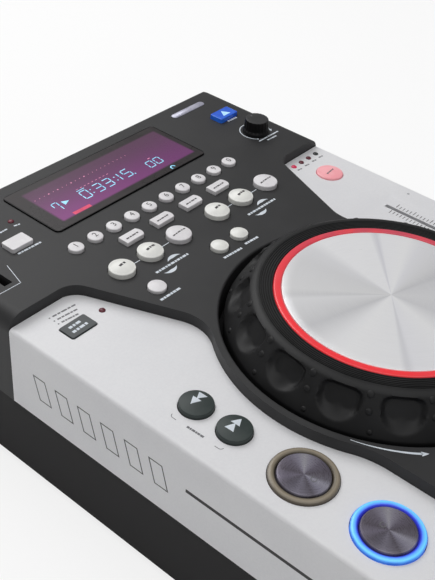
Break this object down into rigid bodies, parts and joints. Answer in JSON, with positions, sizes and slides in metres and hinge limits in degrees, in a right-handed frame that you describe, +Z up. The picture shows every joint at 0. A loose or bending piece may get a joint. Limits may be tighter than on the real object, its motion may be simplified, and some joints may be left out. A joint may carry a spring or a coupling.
{
  "type": "tabletop disc player",
  "caption": "Tabletop disc player with a lit jog wheel, recessed display, press keys, pitch fader, selector knob and a front slot-loading drive in a two-tone case.",
  "frame": {"origin": "middle of the footprint, on the surface that the rubber feet stand on", "axes": "+X to the player's right, +Y to its rear edge, +Z up"},
  "size_m": [0.222, 0.29, 0.1034],
  "materials": {
    "tray_black": "satin",
    "deck_black": "satin",
    "panel_silver": "satin",
    "smoked_window": "gloss",
    "rear_sheet": "matte",
    "socket_metal": "polished",
    "black_plastic": "matte",
    "rubber": "matte",
    "steel": "plated",
    "board_green": "satin",
    "jog_rubber": "matte",
    "red_light": "translucent",
    "spun_metal": "spun",
    "bronze": "satin",
    "lamp_plastic": "translucent",
    "eject_blue": "gloss",
    "key_white": "satin",
    "key_slate": "satin",
    "start_metal": "spun",
    "key_pink": "translucent"
  },
  "bodies": {
    "player_body": {"base_tray": "tray_black", "top_housing": "deck_black", "left_panel": "panel_silver", "right_panel": "panel_silver", "slot_bezel": "tray_black", "display_window": "smoked_window", "rear_panel": "rear_sheet", "rear_sockets": "socket_metal", "mains_inlet": "black_plastic", "switch_housing": "black_plastic", "feet": "rubber", "screws": "steel", "circuit_boards": "board_green", "power_supply": "board_green", "card_reader": "black_plastic", "fader_unit": "steel", "jog_bearing": "bronze", "drive_chassis": "steel", "indicator_lights": "lamp_plastic"},
    "jog": {"jog_wheel": "jog_rubber", "jog_light_ring": "red_light", "jog_disc": "spun_metal", "jog_shaft": "steel"},
    "fader_slider": {"fader_cap": "black_plastic"},
    "knob": {"selector_knob": "black_plastic"},
    "rocker": {"power_switch": "black_plastic"},
    "spindle": {"spindle_hub": "black_plastic"},
    "sled": {"optical_sled": "black_plastic"},
    "roller": {"feed_roller": "rubber"},
    "eject_key": {"eject_button": "eject_blue"},
    "source_key": {"source_button": "key_white"},
    "jog_mode_key": {"jog_mode_button": "key_slate"},
    "reverse_key": {"reverse_button": "key_white"},
    "brake_key": {"brake_button": "key_white"},
    "tap_key": {"tap_button": "key_white"},
    "cue_key": {"cue_button": "start_metal"},
    "play_key": {"play_button": "start_metal"},
    "tempo_key": {"tempo_button": "key_pink"},
    "search_forward_key": {"search_forward_button": "key_slate"},
    "search_back_key": {"search_back_button": "key_slate"},
    "number_key_1": {"number_button_1": "key_white"},
    "number_key_2": {"number_button_2": "key_white"},
    "number_key_3": {"number_button_3": "key_white"},
    "number_key_4": {"number_button_4": "key_white"},
    "number_key_5": {"number_button_5": "key_white"},
    "number_key_6": {"number_button_6": "key_white"},
    "number_key_7": {"number_button_7": "key_white"},
    "number_key_8": {"number_button_8": "key_white"},
    "number_key_9": {"number_button_9": "key_white"},
    "number_key_10": {"number_button_10": "key_white"},
    "mode_key_1": {"mode_button_1": "key_white"},
    "mode_key_2": {"mode_button_2": "key_white"},
    "mode_key_3": {"mode_button_3": "key_white"},
    "mode_key_4": {"mode_button_4": "key_white"},
    "loop_key_1": {"loop_button_1": "key_white"},
    "loop_key_2": {"loop_button_2": "key_white"},
    "loop_key_3": {"loop_button_3": "key_white"},
    "loop_key_4": {"loop_button_4": "key_white"},
    "loop_key_5": {"loop_button_5": "key_white"},
    "loop_key_6": {"loop_button_6": "key_white"}
  },
  "joints": [
    {"name": "jog_turn", "type": "hinge", "parent": "player_body", "child": "jog", "pos_m": [0, -0.0484, 0.083], "axis": [0, 0, 1], "continuous": true},
    {"name": "fader_slide", "type": "slide", "parent": "player_body", "child": "fader_slider", "axis": [0, 1, 0], "range_m": [-0.04, 0.04]},
    {"name": "knob_turn", "type": "hinge", "parent": "player_body", "child": "knob", "pos_m": [0.0896, 0.0928, 0.0884], "axis": [0, 0, 1], "range_deg": [-140, 140]},
    {"name": "power_rock", "type": "hinge", "parent": "player_body", "child": "rocker", "pos_m": [0.022, 0.13, 0.024], "axis": [-1, 0, 0], "range_deg": [0, 16]},
    {"name": "spindle_spin", "type": "hinge", "parent": "player_body", "child": "spindle", "pos_m": [0, -0.06, 0.044], "axis": [0, 0, 1], "continuous": true},
    {"name": "sled_slide", "type": "slide", "parent": "player_body", "child": "sled", "axis": [0, 1, 0], "range_m": [0, 0.036]},
    {"name": "roller_spin", "type": "hinge", "parent": "player_body", "child": "roller", "pos_m": [0, -0.124, 0.05], "axis": [1, 0, 0], "continuous": true},
    {"name": "eject_key_press", "type": "slide", "parent": "player_body", "child": "eject_key", "axis": [0, 0, -1], "range_m": [0, 0.0012], "stiffness_N_per_m": 400},
    {"name": "source_key_press", "type": "slide", "parent": "player_body", "child": "source_key", "axis": [0, 0, -1], "range_m": [0, 0.0012], "stiffness_N_per_m": 400},
    {"name": "jog_mode_key_press", "type": "slide", "parent": "player_body", "child": "jog_mode_key", "axis": [0, 0, -1], "range_m": [0, 0.0012], "stiffness_N_per_m": 400},
    {"name": "reverse_key_press", "type": "slide", "parent": "player_body", "child": "reverse_key", "axis": [0, 0, -1], "range_m": [0, 0.0012], "stiffness_N_per_m": 400},
    {"name": "brake_key_press", "type": "slide", "parent": "player_body", "child": "brake_key", "axis": [0, 0, -1], "range_m": [0, 0.0012], "stiffness_N_per_m": 400},
    {"name": "tap_key_press", "type": "slide", "parent": "player_body", "child": "tap_key", "axis": [0, 0, -1], "range_m": [0, 0.0012], "stiffness_N_per_m": 400},
    {"name": "cue_key_press", "type": "slide", "parent": "player_body", "child": "cue_key", "axis": [0, 0, -1], "range_m": [0, 0.0012], "stiffness_N_per_m": 400},
    {"name": "play_key_press", "type": "slide", "parent": "player_body", "child": "play_key", "axis": [0, 0, -1], "range_m": [0, 0.0012], "stiffness_N_per_m": 400},
    {"name": "tempo_key_press", "type": "slide", "parent": "player_body", "child": "tempo_key", "axis": [0, 0, -1], "range_m": [0, 0.0012], "stiffness_N_per_m": 400},
    {"name": "search_forward_key_press", "type": "slide", "parent": "player_body", "child": "search_forward_key", "axis": [0, 0, -1], "range_m": [0, 0.0012], "stiffness_N_per_m": 400},
    {"name": "search_back_key_press", "type": "slide", "parent": "player_body", "child": "search_back_key", "axis": [0, 0, -1], "range_m": [0, 0.0012], "stiffness_N_per_m": 400},
    {"name": "number_key_1_press", "type": "slide", "parent": "player_body", "child": "number_key_1", "axis": [0, 0, -1], "range_m": [0, 0.0012], "stiffness_N_per_m": 400},
    {"name": "number_key_2_press", "type": "slide", "parent": "player_body", "child": "number_key_2", "axis": [0, 0, -1], "range_m": [0, 0.0012], "stiffness_N_per_m": 400},
    {"name": "number_key_3_press", "type": "slide", "parent": "player_body", "child": "number_key_3", "axis": [0, 0, -1], "range_m": [0, 0.0012], "stiffness_N_per_m": 400},
    {"name": "number_key_4_press", "type": "slide", "parent": "player_body", "child": "number_key_4", "axis": [0, 0, -1], "range_m": [0, 0.0012], "stiffness_N_per_m": 400},
    {"name": "number_key_5_press", "type": "slide", "parent": "player_body", "child": "number_key_5", "axis": [0, 0, -1], "range_m": [0, 0.0012], "stiffness_N_per_m": 400},
    {"name": "number_key_6_press", "type": "slide", "parent": "player_body", "child": "number_key_6", "axis": [0, 0, -1], "range_m": [0, 0.0012], "stiffness_N_per_m": 400},
    {"name": "number_key_7_press", "type": "slide", "parent": "player_body", "child": "number_key_7", "axis": [0, 0, -1], "range_m": [0, 0.0012], "stiffness_N_per_m": 400},
    {"name": "number_key_8_press", "type": "slide", "parent": "player_body", "child": "number_key_8", "axis": [0, 0, -1], "range_m": [0, 0.0012], "stiffness_N_per_m": 400},
    {"name": "number_key_9_press", "type": "slide", "parent": "player_body", "child": "number_key_9", "axis": [0, 0, -1], "range_m": [0, 0.0012], "stiffness_N_per_m": 400},
    {"name": "number_key_10_press", "type": "slide", "parent": "player_body", "child": "number_key_10", "axis": [0, 0, -1], "range_m": [0, 0.0012], "stiffness_N_per_m": 400},
    {"name": "mode_key_1_press", "type": "slide", "parent": "player_body", "child": "mode_key_1", "axis": [0, 0, -1], "range_m": [0, 0.0012], "stiffness_N_per_m": 400},
    {"name": "mode_key_2_press", "type": "slide", "parent": "player_body", "child": "mode_key_2", "axis": [0, 0, -1], "range_m": [0, 0.0012], "stiffness_N_per_m": 400},
    {"name": "mode_key_3_press", "type": "slide", "parent": "player_body", "child": "mode_key_3", "axis": [0, 0, -1], "range_m": [0, 0.0012], "stiffness_N_per_m": 400},
    {"name": "mode_key_4_press", "type": "slide", "parent": "player_body", "child": "mode_key_4", "axis": [0, 0, -1], "range_m": [0, 0.0012], "stiffness_N_per_m": 400},
    {"name": "loop_key_1_press", "type": "slide", "parent": "player_body", "child": "loop_key_1", "axis": [0, 0, -1], "range_m": [0, 0.0012], "stiffness_N_per_m": 400},
    {"name": "loop_key_2_press", "type": "slide", "parent": "player_body", "child": "loop_key_2", "axis": [0, 0, -1], "range_m": [0, 0.0012], "stiffness_N_per_m": 400},
    {"name": "loop_key_3_press", "type": "slide", "parent": "player_body", "child": "loop_key_3", "axis": [0, 0, -1], "range_m": [0, 0.0012], "stiffness_N_per_m": 400},
    {"name": "loop_key_4_press", "type": "slide", "parent": "player_body", "child": "loop_key_4", "axis": [0, 0, -1], "range_m": [0, 0.0012], "stiffness_N_per_m": 400},
    {"name": "loop_key_5_press", "type": "slide", "parent": "player_body", "child": "loop_key_5", "axis": [0, 0, -1], "range_m": [0, 0.0012], "stiffness_N_per_m": 400},
    {"name": "loop_key_6_press", "type": "slide", "parent": "player_body", "child": "loop_key_6", "axis": [0, 0, -1], "range_m": [0, 0.0012], "stiffness_N_per_m": 400}
  ]
}
